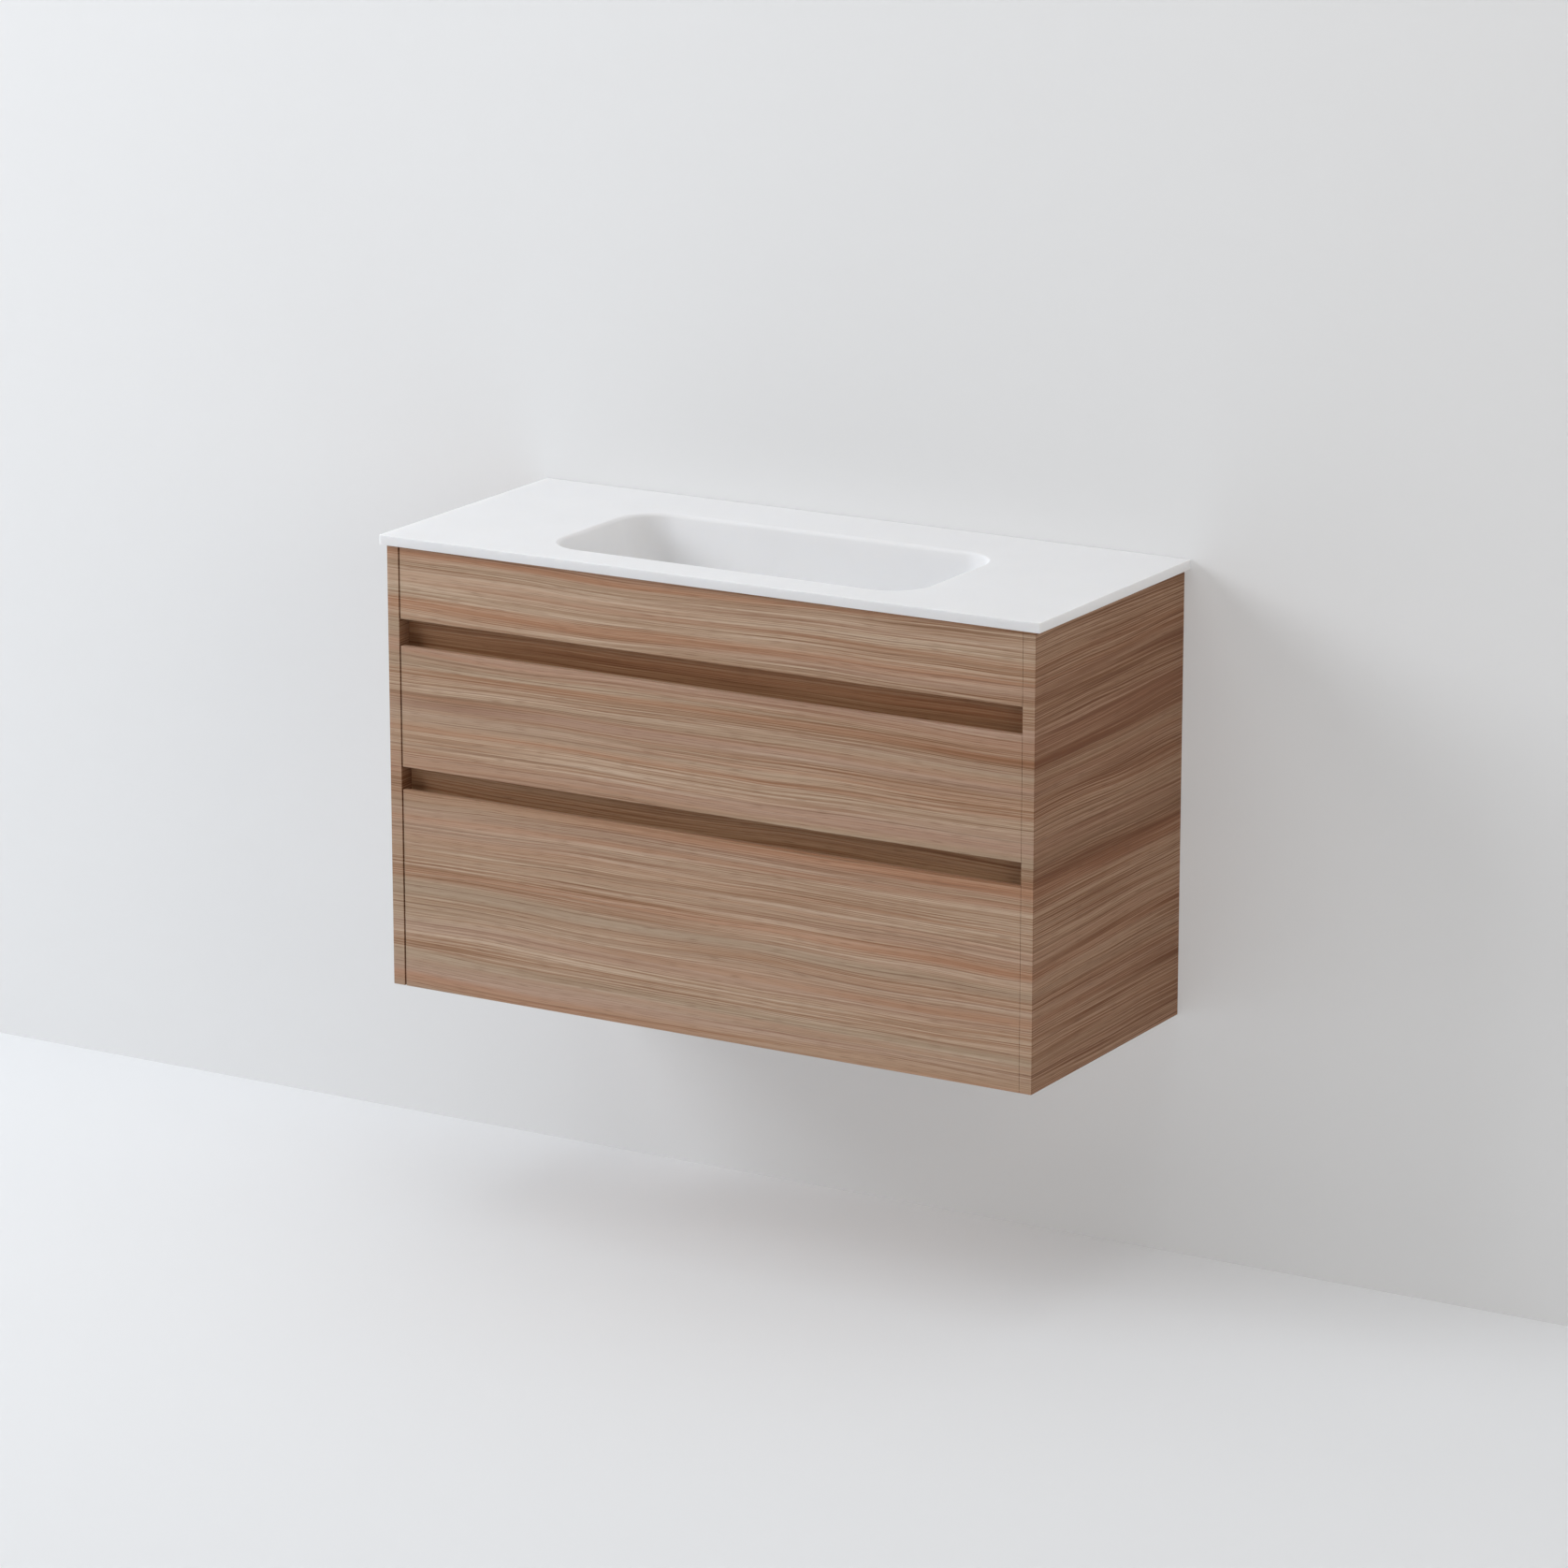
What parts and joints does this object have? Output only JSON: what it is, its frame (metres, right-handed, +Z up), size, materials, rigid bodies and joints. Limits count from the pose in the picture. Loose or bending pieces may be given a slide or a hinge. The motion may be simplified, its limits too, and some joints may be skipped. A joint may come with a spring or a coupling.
{
  "type": "floating vanity",
  "caption": "Wall-hung bathroom vanity with an integrated basin top, drawers opened by finger grooves, full-extension runners and a click waste.",
  "frame": {"origin": "on the wall, at the centre of the rectangle of wall fixings, which is mid-width and mid-height of the carcass", "axes": "+X to the right along the wall, seen from the front; +Y into the wall, so the fronts face -Y; +Z up"},
  "size_m": [0.9, 0.375, 0.562],
  "materials": {
    "solid_surface": "matt white solid surface",
    "wood_laminate": "wood-grain laminate on board, grain horizontal, satin",
    "drawer_board": "light grey melamine-faced board, fine texture",
    "zinc_steel": "bright zinc-plated sheet steel",
    "screw_steel": "zinc-plated screws, bolts and cams",
    "chrome": "polished chrome",
    "plastic": "natural moulded plastic",
    "rubber": "black seal rubber",
    "dowel_wood": "beech dowel"
  },
  "bodies": {
    "cabinet": {"top_slab": "solid_surface", "basin_bowl": "solid_surface", "side_panel_left": "wood_laminate", "side_panel_right": "wood_laminate", "bottom_panel": "wood_laminate", "fascia": "wood_laminate", "upper_grip_rail": "wood_laminate", "lower_grip_rail": "wood_laminate", "back_rail_upper": "wood_laminate", "back_rail_lower": "wood_laminate", "carcass_dowels": "dowel_wood", "carcass_cam_bolts": "screw_steel", "carcass_cam_discs": "screw_steel", "fascia_spacers": "plastic", "fascia_screws": "screw_steel", "front_buffers": "plastic", "waste_body": "chrome", "flange_seal": "rubber", "under_seal": "rubber", "waste_backnut": "plastic", "plug_cartridge": "plastic", "cabinet_member_upper_left": "zinc_steel", "cabinet_member_upper_right": "zinc_steel", "cabinet_member_lower_left": "zinc_steel", "cabinet_member_lower_right": "zinc_steel", "cabinet_member_screws": "screw_steel"},
    "upper_runner_middles": {"middle_member_upper_left": "zinc_steel", "middle_member_upper_right": "zinc_steel"},
    "upper_drawer": {"upper_drawer_front": "wood_laminate", "upper_drawer_side_left": "drawer_board", "upper_drawer_side_right": "drawer_board", "upper_drawer_back_left": "drawer_board", "upper_drawer_back_right": "drawer_board", "upper_drawer_bottom": "drawer_board", "recess_board_left": "drawer_board", "recess_board_right": "drawer_board", "recess_board_front": "drawer_board", "drawer_member_upper_left": "zinc_steel", "drawer_member_upper_right": "zinc_steel", "drawer_member_upper_screws": "screw_steel", "upper_drawer_dowels": "dowel_wood", "upper_drawer_cam_bolts": "screw_steel", "upper_drawer_cam_discs": "screw_steel", "upper_drawer_box_screws": "screw_steel"},
    "lower_runner_middles": {"middle_member_lower_left": "zinc_steel", "middle_member_lower_right": "zinc_steel"},
    "lower_drawer": {"lower_drawer_front": "wood_laminate", "lower_drawer_side_left": "drawer_board", "lower_drawer_side_right": "drawer_board", "lower_drawer_back": "drawer_board", "lower_drawer_bottom": "drawer_board", "drawer_member_lower_left": "zinc_steel", "drawer_member_lower_right": "zinc_steel", "drawer_member_lower_screws": "screw_steel", "lower_drawer_dowels": "dowel_wood", "lower_drawer_cam_bolts": "screw_steel", "lower_drawer_cam_discs": "screw_steel", "lower_drawer_box_screws": "screw_steel"},
    "plug": {"waste_plug": "chrome"}
  },
  "joints": [
    {"name": "upper_drawer_slide", "type": "slide", "parent": "cabinet", "child": "upper_drawer", "axis": [0, -1, 0], "range_m": [0, 0.28]},
    {"name": "upper_middle_slide", "type": "slide", "parent": "cabinet", "child": "upper_runner_middles", "axis": [0, -1, 0], "range_m": [0, 0.14]},
    {"name": "lower_drawer_slide", "type": "slide", "parent": "cabinet", "child": "lower_drawer", "axis": [0, -1, 0], "range_m": [0, 0.28]},
    {"name": "lower_middle_slide", "type": "slide", "parent": "cabinet", "child": "lower_runner_middles", "axis": [0, -1, 0], "range_m": [0, 0.14]},
    {"name": "plug_slide", "type": "slide", "parent": "cabinet", "child": "plug", "axis": [0, 0, 1], "range_m": [0, 0.008]}
  ],
  "couplings": [
    {"joint": "upper_middle_slide", "follows": "upper_drawer_slide", "ratio": 0.5},
    {"joint": "lower_middle_slide", "follows": "lower_drawer_slide", "ratio": 0.5}
  ]
}
